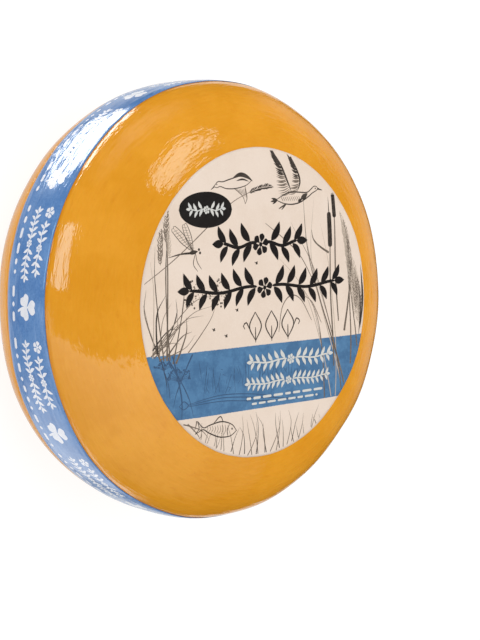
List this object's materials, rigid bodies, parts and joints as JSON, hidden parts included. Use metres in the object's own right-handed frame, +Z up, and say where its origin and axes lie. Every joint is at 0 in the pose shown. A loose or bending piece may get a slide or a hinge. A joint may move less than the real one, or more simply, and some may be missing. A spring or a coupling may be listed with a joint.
{
  "type": "cheese wheel",
  "caption": "Whole round wheel of semi-hard cheese in a glossy orange-yellow coat, with a round paper label on its upper face and a printed film band round its rim.",
  "frame": {"origin": "centre of the lower flat face, on the surface the wheel lies on", "axes": "+Z up along the axis of the wheel, towards the labelled face; +Y towards the top edge of the label's picture; +X towards its right-hand edge"},
  "size_m": [0.2512, 0.2512, 0.1026],
  "materials": {
    "rind_coat": "brushed-on satin cheese coating, orange-yellow, over semi-hard cheese",
    "label_paper": "cream printed paper under a thin clear coat",
    "band_film": "mid-blue glossy film with white print"
  },
  "bodies": {
    "root": {"cheese_wheel": "rind_coat", "face_label": "label_paper", "rim_band": "band_film"}
  },
  "joints": []
}
